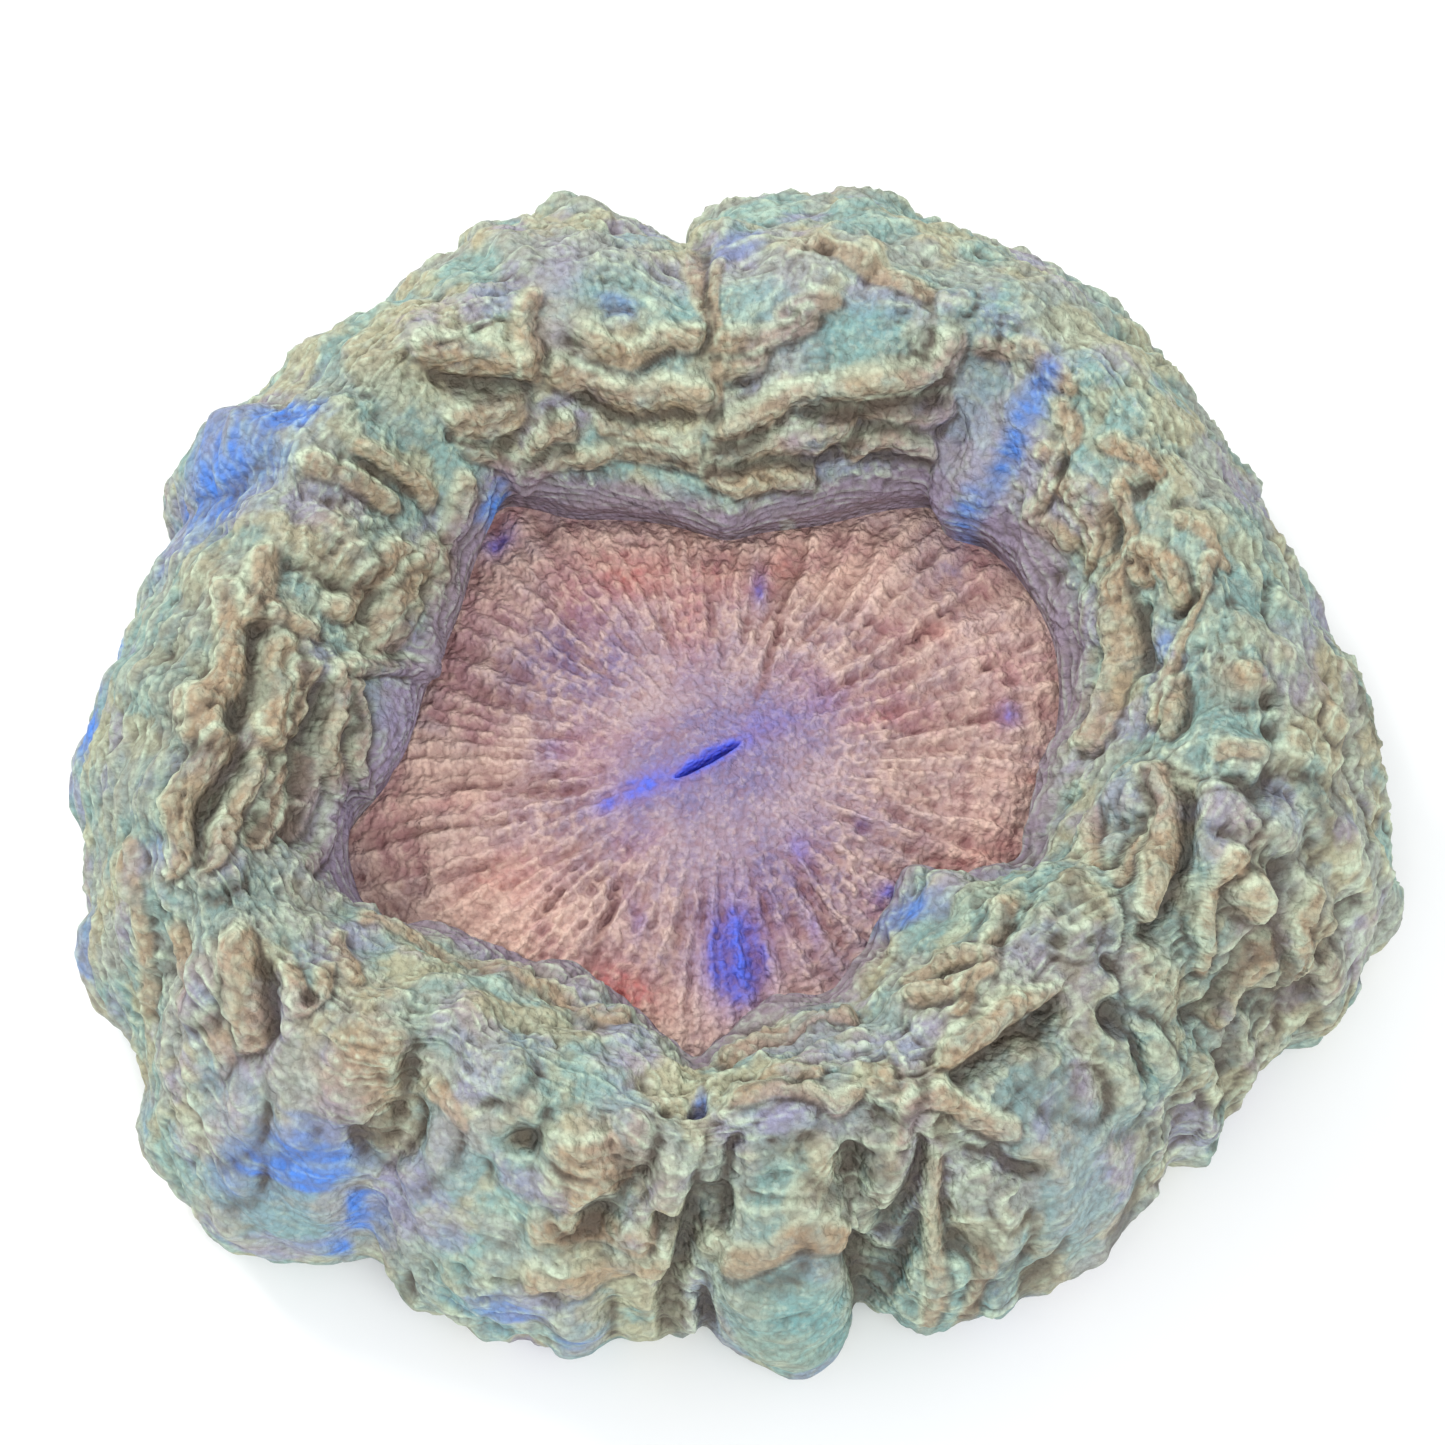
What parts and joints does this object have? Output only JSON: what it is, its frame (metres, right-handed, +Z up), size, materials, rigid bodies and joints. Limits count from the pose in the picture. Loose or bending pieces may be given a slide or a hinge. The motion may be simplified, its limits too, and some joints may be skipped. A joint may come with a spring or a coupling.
{
  "type": "acanthophyllia coral",
  "caption": "Large single-polyp coral: a sunken oval disc with a slit mouth inside a swollen, folded fleshy mantle, cut off flat underneath.",
  "frame": {"origin": "centre of the bounding box of the body, on the flat cut it rests on", "axes": "+Z up out of the cut, towards the disc and mouth; +Y towards the notched rear of the mantle, the top of the picture; +X towards the picture's right"},
  "size_m": [0.1632, 0.1558, 0.0525],
  "materials": {
    "mantle": "matte wet-looking flesh, sage green folds with tan crests and teal hollows",
    "oral_disc": "matte grainy flesh, salmon at the rim and mauve towards the blue mouth"
  },
  "bodies": {
    "root": {"coral": "mantle"}
  },
  "joints": []
}
